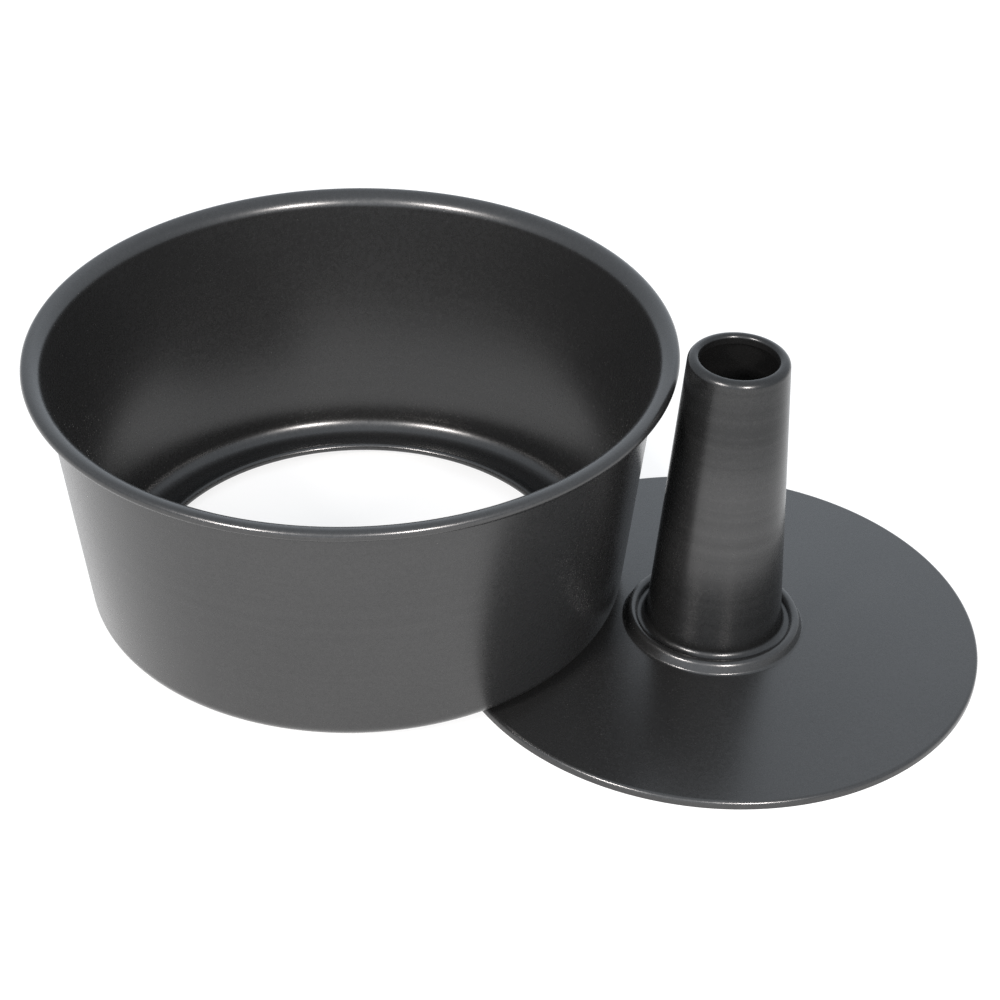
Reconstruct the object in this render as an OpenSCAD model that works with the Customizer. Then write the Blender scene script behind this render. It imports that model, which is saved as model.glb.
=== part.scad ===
// Two-piece angel food cake pan, taken apart: the pan ring stands with one side
// on the edge of its loose base, which is a flat plate with a centre tube.
// Both axes lie in the plane Y = 0, with the tube on the +X side.

/* [Pan ring] */
// Outer diameter over the rolled rim
rim_d = 254; // [220:1:280]
// Height of the pan ring
pan_h = 110; // [80:1:130]
// Thickness of the steel sheet
sheet_t = 0.8; // [0.6:0.1:1.2]
// Lean of the side wall, in degrees
wall_lean = 6.7; // [3:0.1:9]
// Radius of the rolled bead along the rim
roll_r = 2.3; // [2:0.1:3]
// Radius of the bend that leads the wall into the rim
neck_r = 6.4; // [5:0.1:8]
// Outer radius of the corner at the foot
corner_r = 7.8; // [5:0.1:10]
// Diameter of the hole in the bottom
hole_d = 170; // [150:1:180]
// Radius of the small curl round the hole
curl_r = 1.7; // [1.3:0.1:2.2]
// Slope of the flange, which rises from the foot towards the hole, in degrees
flange_rise = 10; // [0:0.5:12]

/* [Base plate] */
// Height of the plate's lower edge above the ring's foot when the base is seated
seat_h = 5; // [2:0.1:6]
// Height of the turned-down edge
edge_h = 3.2; // [2.8:0.1:5]
// Outer radius of the turned-down edge
edge_r = 1.6; // [1.2:0.1:2.4]
// Slope of the plate, which rises towards the tube, in degrees
plate_rise = 2.8; // [0:0.1:4]
// Radius of the bead round the tube
bead_r = 2.2; // [1.8:0.1:2.8]
// Height of the bead above the plate beside it
bead_h = 4.4; // [3.8:0.1:6]
// Radius of the fillet at the foot of the bead
bead_foot_r = 1.2; // [0.8:0.1:2]

/* [Centre tube] */
// Height of the tube's top above the surface the base stands on
tube_h = 131; // [115:0.5:150]
// Outer diameter of the tube's cone where it meets the plane of its feet
tube_foot_d = 55.2; // [48:0.2:64]
// Taper of the tube on each side, in degrees
tube_taper = 3.55; // [1:0.05:4.5]
// Radius of the shoulder that leads the cone into the lip
shoulder_r = 2.9; // [2:0.1:4]
// Radius of the lip that is rolled into the mouth
lip_r = 1.6; // [1.3:0.1:2.2]
// Length of the straight mouth inside the lip
mouth_l = 2; // [1:0.5:6]
// Radius of the flare at the tube's foot
flare_r = 2.6; // [2:0.1:4]
// Width of the tube's hem under the plate
hem_w = 4; // [2:0.5:8]

/* [Fits] */
// Gap between the flare and the bead that is rolled over the flange
bead_gap = 0.8; // [0.4:0.1:1.5]
// Gap between the sheets inside the seam
seam_gap = 0.1; // [0.05:0.05:0.2]
// Gap round the wire inside the rolled rim
wire_gap = 0.15; // [0.05:0.05:0.3]
// Gap between the ring's foot and the bead, as they stand
stand_gap = 2; // [1:0.5:10]
// Gap between the ring's foot and the plate under it
rest_gap = 0.3; // [0.2:0.1:1]

/* [Hidden] */
$fn = 96;
arc_steps = 12;
half_t = sheet_t / 2;
curl_end = 20;

// Steps of a bend: each is a point on the middle of the sheet and the
// direction in which its upper or outer face looks
function bulge(centre, radius, from, to) = [
    for (i = [0 : arc_steps])
        let (a = from + (to - from) * i / arc_steps)
        [centre + (radius - half_t) * [cos(a), sin(a)], a]
];
function hollow(centre, radius, from, to) = [
    for (i = [0 : arc_steps])
        let (a = from + (to - from) * i / arc_steps)
        [centre - (radius + half_t) * [cos(a), sin(a)], a]
];
function spot(point, a) = [[point, a]];

// Outline of a sheet that follows the steps, with its thickness laid on both sides
function sheet(steps) = concat(
    [for (s = steps) s[0] + half_t * [cos(s[1]), sin(s[1])]],
    [for (i = [len(steps) - 1 : -1 : 0]) steps[i][0] - half_t * [cos(steps[i][1]), sin(steps[i][1])]]
);

// Pan ring, in its own frame with the foot at z = 0
roll_centre = [rim_d / 2 - roll_r, pan_h - roll_r];
neck_centre = [rim_d / 2 - roll_r, pan_h - neck_r];
wall_out = [cos(-wall_lean), sin(-wall_lean)];
wall_top = neck_centre - (neck_r - half_t) * wall_out;
corner_x = (wall_out * wall_top - (corner_r - half_t) - wall_out[1] * corner_r) / wall_out[0];
corner_centre = [corner_x, corner_r];
flange_down = 270 - flange_rise;
flange_out = [cos(flange_down), sin(flange_down)];
curl_x = hole_d / 2 + curl_r;
curl_z = (corner_r + flange_out * corner_centre - curl_r - flange_out[0] * curl_x) / flange_out[1];
curl_centre = [curl_x, curl_z];
ring_steps = concat(
    bulge(curl_centre, curl_r, curl_end, flange_down),
    bulge(corner_centre, corner_r, flange_down, 360 - wall_lean),
    [for (s = bulge(neck_centre, neck_r, 180 - wall_lean, 90)) [s[0], s[1] + 180]],
    [for (s = bulge(roll_centre, roll_r, 90, -180)) [s[0], s[1] + 180]]
);
wire_r = roll_r - sheet_t - wire_gap;

// Base plate: its edge comes to rest on the curved corner of the ring
plate_r = corner_x + sqrt(pow(corner_r - sheet_t, 2) - pow(corner_r - seat_h, 2));
edge_centre = [plate_r - edge_r, edge_h - edge_r];
plate_up = [cos(90 - plate_rise), sin(90 - plate_rise)];

// Tube: its cone, and the flange that the bead is rolled over
tube_out = [cos(tube_taper), sin(tube_taper)];
foot_point = [tube_foot_d / 2, 0];
shoulder_z = tube_h - shoulder_r;
lip_x = (tube_out * foot_point - shoulder_r - tube_out[1] * shoulder_z) / tube_out[0];
lip_z = tube_h - lip_r;

// Height of the plate's upper face at a distance from the tube's axis
function plate_z(x) = edge_centre[1] + edge_r / plate_up[1] + (edge_centre[0] - x) * tan(plate_rise);

// The bead rests on the flange, and leans over to the plate at its outer side
flank = 20;
flank_out = [cos(flank), sin(flank)];
bead_near_x = tube_foot_d / 2 + flare_r + bead_gap + bead_r;
bead_z = plate_z(bead_near_x) + bead_h - bead_r;
flare_z = bead_z + flare_r;
flare_x = (tube_out * foot_point + flare_r - tube_out[1] * flare_z) / tube_out[0];
bead_x = flare_x + bead_gap + bead_r;
bead_centre = [bead_x, bead_z];

// Fillet at the bead's foot, tangent to the bead's side and to the plate
fillet_side = flank_out * bead_centre + bead_r + bead_foot_r;
fillet_top = plate_up * edge_centre + edge_r + bead_foot_r;
fillet_det = flank_out[0] * plate_up[1] - flank_out[1] * plate_up[0];
fillet_centre = [
    (fillet_side * plate_up[1] - fillet_top * flank_out[1]) / fillet_det,
    (fillet_top * flank_out[0] - fillet_side * plate_up[0]) / fillet_det
];
hub_r = fillet_centre[0];
plate_steps = concat(
    spot([plate_r - half_t, 0], 0),
    bulge(edge_centre, edge_r, 0, 90 - plate_rise),
    hollow(fillet_centre, bead_foot_r, 90 - plate_rise, flank),
    bulge(bead_centre, bead_r, flank, 180)
);

// Hem: the flange turns down inside the bead and runs out under the plate
turn_inside_r = 0.2;
turn_r = sheet_t + turn_inside_r;
flange_x = bead_x + bead_r - sheet_t - seam_gap - turn_r;
turn_centre = [flange_x, bead_z - turn_r];
hem_side = turn_centre[0] + turn_r;
hem_top = plate_up * edge_centre + edge_r - sheet_t - seam_gap;
hem_bend_r = 0.4;
hem_centre_x = hem_side + hem_bend_r;
hem_centre = [hem_centre_x, (hem_top + hem_bend_r - plate_up[0] * hem_centre_x) / plate_up[1]];
hem_end_x = hem_centre_x + hem_w;
hem_end = [hem_end_x, (hem_top - half_t - plate_up[0] * hem_end_x) / plate_up[1]];
tube_steps = concat(
    spot([lip_x - lip_r + half_t, lip_z - mouth_l], 180),
    bulge([lip_x, lip_z], lip_r, 180, 90),
    bulge([lip_x, shoulder_z], shoulder_r, 90, tube_taper),
    hollow([flare_x, flare_z], flare_r, tube_taper, 90),
    bulge(turn_centre, turn_r, 90, 0),
    hollow(hem_centre, hem_bend_r, 0, 90 - plate_rise),
    spot(hem_end, 90 - plate_rise)
);

// Stand: how far the axes are apart, and how much the ring leans away from the tube
axes_apart = corner_x + corner_r + hub_r + stand_gap;
ring_tilt = asin((plate_z(axes_apart - corner_x) + rest_gap) / (2 * corner_x));
ring_lift = corner_r * (1 - cos(ring_tilt)) + corner_x * sin(ring_tilt);
left_reach = roll_centre[1] * sin(ring_tilt) + roll_centre[0] * cos(ring_tilt) + roll_r;
right_reach = axes_apart + plate_r;
ring_x = (left_reach - right_reach) / 2;
tube_x = ring_x + axes_apart;

module stand_ring() {
    translate([ring_x, 0, ring_lift])
        rotate([0, -ring_tilt, 0])
            children();
}

module pan_ring() {
    color("dimgray")
        stand_ring()
            rotate_extrude()
                polygon(sheet(ring_steps));
}

module rim_wire() {
    color("silver")
        stand_ring()
            rotate_extrude()
                translate(roll_centre)
                    circle(r = wire_r);
}

module base_plate() {
    color("dimgray")
        translate([tube_x, 0, 0])
            rotate_extrude()
                polygon(sheet(plate_steps));
}

module centre_tube() {
    color("gray")
        translate([tube_x, 0, 0])
            rotate_extrude()
                polygon(sheet(tube_steps));
}

pan_ring();
rim_wire();
base_plate();
centre_tube();
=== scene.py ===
from math import asin, cos, pi, radians, sin, sqrt, tan

import bpy
from mathutils import Matrix, Vector


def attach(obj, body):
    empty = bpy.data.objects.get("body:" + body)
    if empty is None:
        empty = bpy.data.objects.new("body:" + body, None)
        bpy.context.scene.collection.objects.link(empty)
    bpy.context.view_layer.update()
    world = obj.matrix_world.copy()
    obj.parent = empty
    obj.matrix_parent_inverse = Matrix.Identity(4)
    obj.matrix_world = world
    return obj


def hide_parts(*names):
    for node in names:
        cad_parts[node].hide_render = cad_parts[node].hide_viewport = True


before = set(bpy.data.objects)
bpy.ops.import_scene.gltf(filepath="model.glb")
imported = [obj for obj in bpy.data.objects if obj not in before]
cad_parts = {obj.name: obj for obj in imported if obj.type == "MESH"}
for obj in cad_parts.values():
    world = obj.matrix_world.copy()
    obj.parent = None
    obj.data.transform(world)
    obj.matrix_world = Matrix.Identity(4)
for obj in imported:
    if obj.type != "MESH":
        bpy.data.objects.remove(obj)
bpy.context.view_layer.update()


# Pan ring
# The outer wall of the pan, drawn from one coated steel sheet: a flange that rises to
# the small curl round the hole, a rounded foot, a leaning wall, and a rim rolled
# outwards round a wire. It stands with its right side on the base plate.

# Thickness of the sheet that all three shells are made of
SHEET = 0.0008
# Steps along each bend of a section, and round the axis
ARC_STEPS = 12
TURN_STEPS = 256


class Walk:
    """The middle line of a bent sheet, as points and the way its outer face looks."""

    def __init__(self):
        self.steps = []

    def spot(self, x, z, angle):
        self.steps.append((x, z, angle))
        return self

    def bulge(self, x, z, radius, start, end, turned=False):
        """A bend whose outer face looks away from its centre, or towards it if turned."""
        for i in range(ARC_STEPS + 1):
            a = start + (end - start) * i / ARC_STEPS
            r = radius - SHEET / 2
            look = a + 180 if turned else a
            self.steps.append((x + r * cos(radians(a)), z + r * sin(radians(a)), look))
        return self

    def hollow(self, x, z, radius, start, end):
        """A bend on the far side of its centre, whose outer face looks at the centre."""
        for i in range(ARC_STEPS + 1):
            a = start + (end - start) * i / ARC_STEPS
            r = radius + SHEET / 2
            self.steps.append((x - r * cos(radians(a)), z - r * sin(radians(a)), a))
        return self

    def outline(self):
        """The closed outline of the sheet, half its thickness on either side."""
        there = [(x + SHEET / 2 * cos(radians(a)), z + SHEET / 2 * sin(radians(a)))
                 for x, z, a in self.steps]
        back = [(x - SHEET / 2 * cos(radians(a)), z - SHEET / 2 * sin(radians(a)))
                for x, z, a in reversed(self.steps)]
        return there + back


# Points nearer than this are one point
WELD = 1e-6
# Edges bent less than this, in degrees, are shaded smooth
SMOOTH_BELOW = 35


def spin_sheet(name, outline, place):
    """Turns a section, drawn out from one point, once round the upright axis."""
    bpy.ops.object.select_all(action="DESELECT")
    bpy.ops.mesh.primitive_plane_add(size=SHEET, location=(0, 0, 0))
    piece = bpy.context.object
    piece.name = name
    bpy.ops.object.mode_set(mode="EDIT")
    bpy.ops.mesh.select_all(action="SELECT")
    bpy.ops.mesh.merge(type="CENTER")
    at = Vector((outline[0][0], 0.0, outline[0][1]))
    bpy.ops.transform.translate(value=at)
    for x, z in outline[1:] + outline[:1]:
        goal = Vector((x, 0.0, z))
        if (goal - at).length < WELD:
            continue
        bpy.ops.mesh.extrude_vertices_move(TRANSFORM_OT_translate={"value": goal - at})
        at = goal
    bpy.ops.mesh.select_all(action="SELECT")
    bpy.ops.mesh.remove_doubles(threshold=WELD)
    bpy.ops.mesh.spin(steps=TURN_STEPS, angle=2 * pi, center=(0, 0, 0), axis=(0, 0, 1))
    bpy.ops.mesh.select_all(action="SELECT")
    bpy.ops.mesh.remove_doubles(threshold=WELD)
    bpy.ops.mesh.normals_make_consistent(inside=False)
    bpy.ops.object.mode_set(mode="OBJECT")
    piece.data.transform(place)
    bpy.ops.object.shade_smooth_by_angle(angle=radians(SMOOTH_BELOW))
    return piece


# The ring's sizes in metres, with its lean and slope in degrees
RIM_R = 0.127
PAN_H = 0.110
WALL_LEAN = 6.7
ROLL_R = 0.0023
NECK_R = 0.0064
CORNER_R = 0.0078
HOLE_R = 0.085
CURL_R = 0.0017
CURL_END = 20
FLANGE_RISE = 10

roll_x = RIM_R - ROLL_R
roll_z = PAN_H - ROLL_R
neck_z = PAN_H - NECK_R
out_x = cos(radians(-WALL_LEAN))
out_z = sin(radians(-WALL_LEAN))
top_x = roll_x - (NECK_R - SHEET / 2) * out_x
top_z = neck_z - (NECK_R - SHEET / 2) * out_z
corner_x = (out_x * top_x + out_z * top_z - (CORNER_R - SHEET / 2) - out_z * CORNER_R) / out_x
flange_down = 270 - FLANGE_RISE
down_x = cos(radians(flange_down))
down_z = sin(radians(flange_down))
curl_x = HOLE_R + CURL_R
curl_z = (CORNER_R + down_x * corner_x + down_z * CORNER_R - CURL_R - down_x * curl_x) / down_z
ring_line = (Walk()
             .bulge(curl_x, curl_z, CURL_R, CURL_END, flange_down)
             .bulge(corner_x, CORNER_R, CORNER_R, flange_down, 360 - WALL_LEAN)
             .bulge(roll_x, neck_z, NECK_R, 180 - WALL_LEAN, 90, turned=True)
             .bulge(roll_x, roll_z, ROLL_R, 90, -180, turned=True))

# The ring leans on the base, so its place needs the height of the plate under it:
# the plate's edge, and its slope in degrees
SEAT_H = 0.005
EDGE_H = 0.0032
EDGE_R = 0.0016
PLATE_RISE = 2.8

plate_r = corner_x + sqrt((CORNER_R - SHEET) ** 2 - (CORNER_R - SEAT_H) ** 2)
edge_x = plate_r - EDGE_R
edge_z = EDGE_H - EDGE_R
up_x = cos(radians(90 - PLATE_RISE))
up_z = sin(radians(90 - PLATE_RISE))


def plate_z(x):
    """Height of the plate's upper face at a distance from the tube's axis."""
    return edge_z + EDGE_R / up_z + (edge_x - x) * tan(radians(PLATE_RISE))


# It also needs the reach of the hub, which the tube's foot and the bead round it set
TUBE_FOOT_R = 0.0276
TUBE_TAPER = 3.55
FLARE_R = 0.0026
BEAD_GAP = 0.0008
BEAD_R = 0.0022
BEAD_H = 0.0044
BEAD_FOOT_R = 0.0012
FLANK = 20

cone_x = cos(radians(TUBE_TAPER))
cone_z = sin(radians(TUBE_TAPER))
bead_z = plate_z(TUBE_FOOT_R + FLARE_R + BEAD_GAP + BEAD_R) + BEAD_H - BEAD_R
flare_z = bead_z + FLARE_R
flare_x = (cone_x * TUBE_FOOT_R + FLARE_R - cone_z * flare_z) / cone_x
bead_x = flare_x + BEAD_GAP + BEAD_R
flank_x = cos(radians(FLANK))
flank_z = sin(radians(FLANK))
fillet_side = flank_x * bead_x + flank_z * bead_z + BEAD_R + BEAD_FOOT_R
fillet_top = up_x * edge_x + up_z * edge_z + EDGE_R + BEAD_FOOT_R
fillet_det = flank_x * up_z - flank_z * up_x
foot_x = (fillet_side * up_z - fillet_top * flank_z) / fillet_det
foot_z = (fillet_top * flank_x - fillet_side * up_x) / fillet_det

# Gaps between the ring's foot and the hub, and between the ring and the plate under it
STAND_GAP = 0.002
REST_GAP = 0.0003

apart = corner_x + CORNER_R + foot_x + STAND_GAP
tilt = asin((plate_z(apart - corner_x) + REST_GAP) / (2 * corner_x))
ring_z = CORNER_R * (1 - cos(tilt)) + corner_x * sin(tilt)
left_reach = roll_z * sin(tilt) + roll_x * cos(tilt) + ROLL_R
ring_x = (left_reach - apart - plate_r) / 2
tube_x = ring_x + apart
ring_place = Matrix.Translation((ring_x, 0, ring_z)) @ Matrix.Rotation(-tilt, 4, "Y")
base_place = Matrix.Translation((tube_x, 0, 0))


class Tie:
    """A shader socket, with the arithmetic that the finishes are written in."""

    def __init__(self, tree, socket):
        self.tree = tree
        self.socket = socket

    def node(self, kind, settings=None, **values):
        """Adds a node. A socket is named by its words, or by its number after a low line."""
        made = self.tree.nodes.new(kind)
        for key, value in (settings or {}).items():
            if key == "stops":
                ramp = made.color_ramp
                for i, (place, level) in enumerate(value):
                    stop = ramp.elements[i] if i < 2 else ramp.elements.new(place)
                    stop.position = place
                    stop.color = (level, level, level, 1)
            else:
                setattr(made, key, value)
        for key, value in values.items():
            at = int(key[1:]) if key[0] == "_" else key.replace("_", " ")
            if isinstance(value, Tie):
                self.tree.links.new(value.socket, made.inputs[at])
            else:
                made.inputs[at].default_value = value
        return made

    def out(self, kind, settings=None, output=0, **values):
        return Tie(self.tree, self.node(kind, settings, **values).outputs[output])

    def math(self, operation, a, b):
        return self.out("ShaderNodeMath", {"operation": operation}, _0=a, _1=b)

    def __add__(self, other):
        return self.math("ADD", self, other)

    def __sub__(self, other):
        return self.math("SUBTRACT", self, other)

    def __rsub__(self, other):
        return self.math("SUBTRACT", other, self)

    def __mul__(self, other):
        return self.math("MULTIPLY", self, other)

    __radd__ = __add__
    __rmul__ = __mul__


def empty_material(name):
    """A new material without nodes, and the tie that its nodes are made from."""
    made = bpy.data.materials.new(name)
    made.use_nodes = True
    made.node_tree.nodes.clear()
    return made, Tie(made.node_tree, None)


def close_material(start, shader):
    end = start.node("ShaderNodeOutputMaterial")
    start.tree.links.new(shader.outputs[0], end.inputs[0])


# The coating's darkest and lightest colours, its middle roughness, and the number of
# grains, clouds and spun bands in a metre
DARK_COAT = (0.038, 0.0385, 0.039, 1)
LIGHT_COAT = (0.098, 0.098, 0.0985, 1)
COAT_ROUGHNESS = 0.27
SPECKS = 1900.0
GRAINS = 620.0
CLOUDS = 18.0
BANDS = 240.0
# The painted shade's places run from 0 at the foot to 1 at this height
PAINTED_SHADE_REACH = 2 / 15


def coated_steel(name, centre, tilted=0.0, bands=0.0, painted_shade_stops=None):
    """Satin dark coating: fine speckle, soft mottling, faint spun bands, and painted shade along its
    height where stops are given.
    """
    made, start = empty_material(name)
    where = start.out("ShaderNodeTexCoord", output=3)
    local = start.out("ShaderNodeMapping", {"vector_type": "TEXTURE"}, Vector=where,
                      Location=centre, Rotation=(0, tilted, 0))
    speck = start.out("ShaderNodeTexNoise", Vector=local, Scale=SPECKS, Detail=2.0)
    grain = start.out("ShaderNodeTexNoise", Vector=local, Scale=GRAINS, Detail=3.0)
    cloud = start.out("ShaderNodeTexNoise", Vector=local, Scale=CLOUDS, Detail=3.0)
    height = start.out("ShaderNodeSeparateXYZ", output=2, Vector=local)
    band = start.out("ShaderNodeTexNoise", {"noise_dimensions": "1D"}, W=height,
                     Scale=BANDS, Detail=4.0)
    tone = (speck - 0.5) * 0.45 + (grain - 0.5) * 0.22 + (cloud - 0.5) * 0.16 + (band - 0.5) * bands
    # Painted shade: a ramp by height darkens or lightens the coating along the part
    if painted_shade_stops:
        painted_shade = start.out("ShaderNodeValToRGB", {"stops": painted_shade_stops}, Fac=height * (1 / PAINTED_SHADE_REACH))
        tone = tone + painted_shade - 0.5
    mix = start.out("ShaderNodeMix", {"data_type": "RGBA"}, output=2, _0=tone + 0.5,
                    _6=DARK_COAT, _7=LIGHT_COAT)
    rough = (grain - 0.5) * 0.10 + (cloud - 0.5) * 0.06 + COAT_ROUGHNESS
    bump = start.out("ShaderNodeBump", Height=speck + grain, Strength=0.06, Distance=0.00006)
    close_material(start, start.node("ShaderNodeBsdfPrincipled", Base_Color=mix, Roughness=rough,
                                     Normal=bump, Metallic=0.85))
    return made


ring = spin_sheet("pan_ring_shell", ring_line.outline(), ring_place)
ring.data.materials.append(coated_steel("ring_coating", (ring_x, 0, ring_z), -tilt, bands=0.10))
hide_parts("pan_ring")
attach(ring, "ring")


# Rim wire
# Bright drawn steel wire inside the rolled rim, which closes over it.
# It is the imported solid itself, with its own finish.

DARK_WIRE = (0.42, 0.42, 0.43, 1)
LIGHT_WIRE = (0.62, 0.62, 0.63, 1)
WIRE_ROUGHNESS = 0.3
WIRE_GRAINS = 900.0


def bright_wire():
    """Pale bare steel, mottled by the drawing."""
    made, start = empty_material("bright_wire")
    where = start.out("ShaderNodeTexCoord", output=3)
    draw = start.out("ShaderNodeTexNoise", Vector=where, Scale=WIRE_GRAINS, Detail=3.0)
    mix = start.out("ShaderNodeMix", {"data_type": "RGBA"}, output=2, _0=draw,
                    _6=DARK_WIRE, _7=LIGHT_WIRE)
    close_material(start, start.node("ShaderNodeBsdfPrincipled", Base_Color=mix, Metallic=1.0,
                                     Roughness=(draw - 0.5) * 0.2 + WIRE_ROUGHNESS))
    return made


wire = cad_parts["rim_wire"]
wire.data.materials.clear()
wire.data.materials.append(bright_wire())


# Base plate
# The loose bottom: one pressed sheet of coated steel, rising from its turned-down edge
# to a bead that is rolled over the tube's flange.

plate_line = (Walk()
              .spot(plate_r - SHEET / 2, 0, 0)
              .bulge(edge_x, edge_z, EDGE_R, 0, 90 - PLATE_RISE)
              .hollow(foot_x, foot_z, BEAD_FOOT_R, 90 - PLATE_RISE, FLANK)
              .bulge(bead_x, bead_z, BEAD_R, FLANK, 180))
plate = spin_sheet("base_plate_shell", plate_line.outline(), base_place)
plate.data.materials.append(coated_steel("plate_coating", (tube_x, 0, 0)))
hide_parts("base_plate")
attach(plate, "loose_base")


# Centre tube
# A tapered spun tube of coated steel with its lip rolled inwards. Its flange turns down
# inside the plate's bead and runs out under the plate, which closes the seam.

TUBE_H = 0.131
SHOULDER_R = 0.0029
LIP_R = 0.0016
MOUTH_L = 0.002
TURN_INSIDE_R = 0.0002
HEM_BEND_R = 0.0004
HEM_W = 0.004
SEAM_GAP = 0.0001
# Painted shade along the tube, darker at its foot and top and lighter between, as places from its
# foot up and levels
TUBE_PAINTED_SHADE = [(0.08, 0.18), (0.26, 0.26), (0.36, 0.56), (0.62, 0.50), (0.80, 0.02), (0.97, 0.10)]

shoulder_z = TUBE_H - SHOULDER_R
lip_x = (cone_x * TUBE_FOOT_R - SHOULDER_R - cone_z * shoulder_z) / cone_x
lip_z = TUBE_H - LIP_R
turn_r = SHEET + TURN_INSIDE_R
turn_x = bead_x + BEAD_R - SHEET - SEAM_GAP - turn_r
turn_z = bead_z - turn_r
hem_top = up_x * edge_x + up_z * edge_z + EDGE_R - SHEET - SEAM_GAP
hem_x = turn_x + turn_r + HEM_BEND_R
hem_z = (hem_top + HEM_BEND_R - up_x * hem_x) / up_z
end_x = hem_x + HEM_W
end_z = (hem_top - SHEET / 2 - up_x * end_x) / up_z
tube_line = (Walk()
             .spot(lip_x - LIP_R + SHEET / 2, lip_z - MOUTH_L, 180)
             .bulge(lip_x, lip_z, LIP_R, 180, 90)
             .bulge(lip_x, shoulder_z, SHOULDER_R, 90, TUBE_TAPER)
             .hollow(flare_x, flare_z, FLARE_R, TUBE_TAPER, 90)
             .bulge(turn_x, turn_z, turn_r, 90, 0)
             .hollow(hem_x, hem_z, HEM_BEND_R, 0, 90 - PLATE_RISE)
             .spot(end_x, end_z, 90 - PLATE_RISE))
tube = spin_sheet("centre_tube_shell", tube_line.outline(), base_place)
tube.data.materials.append(coated_steel("tube_coating", (tube_x, 0, 0), bands=0.32, painted_shade_stops=TUBE_PAINTED_SHADE))
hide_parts("centre_tube")
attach(tube, "loose_base")


# Floor
# A plain pale sheet under the pan, a little bright by itself, so that it stays white
# inside the ring too.

FLOOR_SIZE = 6
FLOOR_GREY = 0.30
FLOOR_GLOW = 0.74

bpy.ops.mesh.primitive_plane_add(size=FLOOR_SIZE, location=(0, 0, 0))
floor = bpy.context.object
floor.name = "floor"
paper = bpy.data.materials.new("pale_floor")
paper.use_nodes = True
paper_inputs = paper.node_tree.nodes["Principled BSDF"].inputs
paper_inputs["Base Color"].default_value = (FLOOR_GREY, FLOOR_GREY, FLOOR_GREY, 1)
paper_inputs["Roughness"].default_value = 0.9
paper_inputs["Emission Color"].default_value = (1, 1, 1, 1)
paper_inputs["Emission Strength"].default_value = FLOOR_GLOW
floor.data.materials.append(paper)


# Camera
# It has the photograph's viewing angle, worked out from the outlines of the pan.
# Angles are in degrees, the distance in metres, and the lens in millimetres.

AZIMUTH = 10.140
ELEVATION = 35.200
ROLL = 2.539
DISTANCE = 1.08054
LENS = 96.957
SENSOR = 36
SHIFT_Y = -0.002
TARGET = Vector((-0.005402, 0.009970, 0.043267))

az = radians(AZIMUTH)
el = radians(ELEVATION)
roll = radians(ROLL)
forward = Vector((-sin(az) * cos(el), cos(az) * cos(el), -sin(el)))
right = Vector((cos(az), sin(az), 0))
up = right.cross(forward)
rolled_right = right * cos(roll) + up * sin(roll)
rolled_up = up * cos(roll) - right * sin(roll)
eye = TARGET - forward * DISTANCE
lens = bpy.data.cameras.new("camera")
lens.sensor_width = SENSOR
lens.lens = LENS
lens.shift_y = SHIFT_Y
lens.clip_start = 0.05
camera = bpy.data.objects.new("camera", lens)
bpy.context.scene.collection.objects.link(camera)
camera.matrix_world = Matrix((
    (rolled_right.x, rolled_up.x, -forward.x, eye.x),
    (rolled_right.y, rolled_up.y, -forward.y, eye.y),
    (rolled_right.z, rolled_up.z, -forward.z, eye.z),
    (0, 0, 0, 1)))
bpy.context.scene.camera = camera


# Light
# An even, cool sky, darker straight above and at the left and right, and two small warm
# lamps beside the camera, which make the highlights on the rims and bends.

SKY_STRENGTH = 1.36
SKY_TINT = (0.93, 1.0, 1.08, 1)
# How light the sky is, by the upward part of the direction
SKY_LEVELS = [(0.0, 1.0), (0.60, 1.0), (0.90, 0.72)]
SIDE_LOSS = 0.45

bpy.context.scene.view_settings.view_transform = "Standard"
if bpy.context.scene.world is None:
    bpy.context.scene.world = bpy.data.worlds.new("studio")
studio = bpy.context.scene.world
studio.use_nodes = True
sky = Tie(studio.node_tree, None)
way = sky.out("ShaderNodeTexCoord", output=0)
upwards = sky.out("ShaderNodeSeparateXYZ", output=2, Vector=way)
sideways = sky.out("ShaderNodeSeparateXYZ", output=0, Vector=way)
side_level = 1.0 - sky.math("ABSOLUTE", sideways, 0.0) * SIDE_LOSS
sky_level = side_level * sky.out("ShaderNodeValToRGB", {"stops": SKY_LEVELS}, Fac=upwards)
tinted = sky.out("ShaderNodeMix", {"data_type": "RGBA", "blend_type": "MULTIPLY"}, output=2,
                 _0=1.0, _6=sky_level, _7=SKY_TINT)
backdrop = studio.node_tree.nodes["Background"]
studio.node_tree.links.new(tinted.socket, backdrop.inputs[0])
backdrop.inputs[1].default_value = SKY_STRENGTH

LAMP_COLOUR = (1.0, 0.94, 0.90)
LAMP_RISE = 32
LAMP_REACH = 1.6
LAMP_AIM = Vector((0, 0, 0.06))


def warm_lamp(name, turn, width, depth, power):
    """A lamp aimed at the pan, turned by some degrees from the camera's own bearing."""
    bearing = Matrix.Rotation(radians(turn), 3, "Z") @ Vector((sin(az), -cos(az), 0))
    rising = bearing * cos(radians(LAMP_RISE)) + Vector((0, 0, sin(radians(LAMP_RISE))))
    place = LAMP_AIM + LAMP_REACH * rising
    lamp = bpy.data.lights.new(name, "AREA")
    lamp.shape = "RECTANGLE"
    lamp.size = width
    lamp.size_y = depth
    lamp.energy = power
    lamp.color = LAMP_COLOUR
    holder = bpy.data.objects.new(name, lamp)
    bpy.context.scene.collection.objects.link(holder)
    facing = (LAMP_AIM - place).to_track_quat("-Z", "Y").to_matrix().to_4x4()
    holder.matrix_world = Matrix.Translation(place) @ facing


warm_lamp("right_light", 21, 0.20, 0.20, 24)
warm_lamp("left_light", -38, 0.26, 0.20, 22)
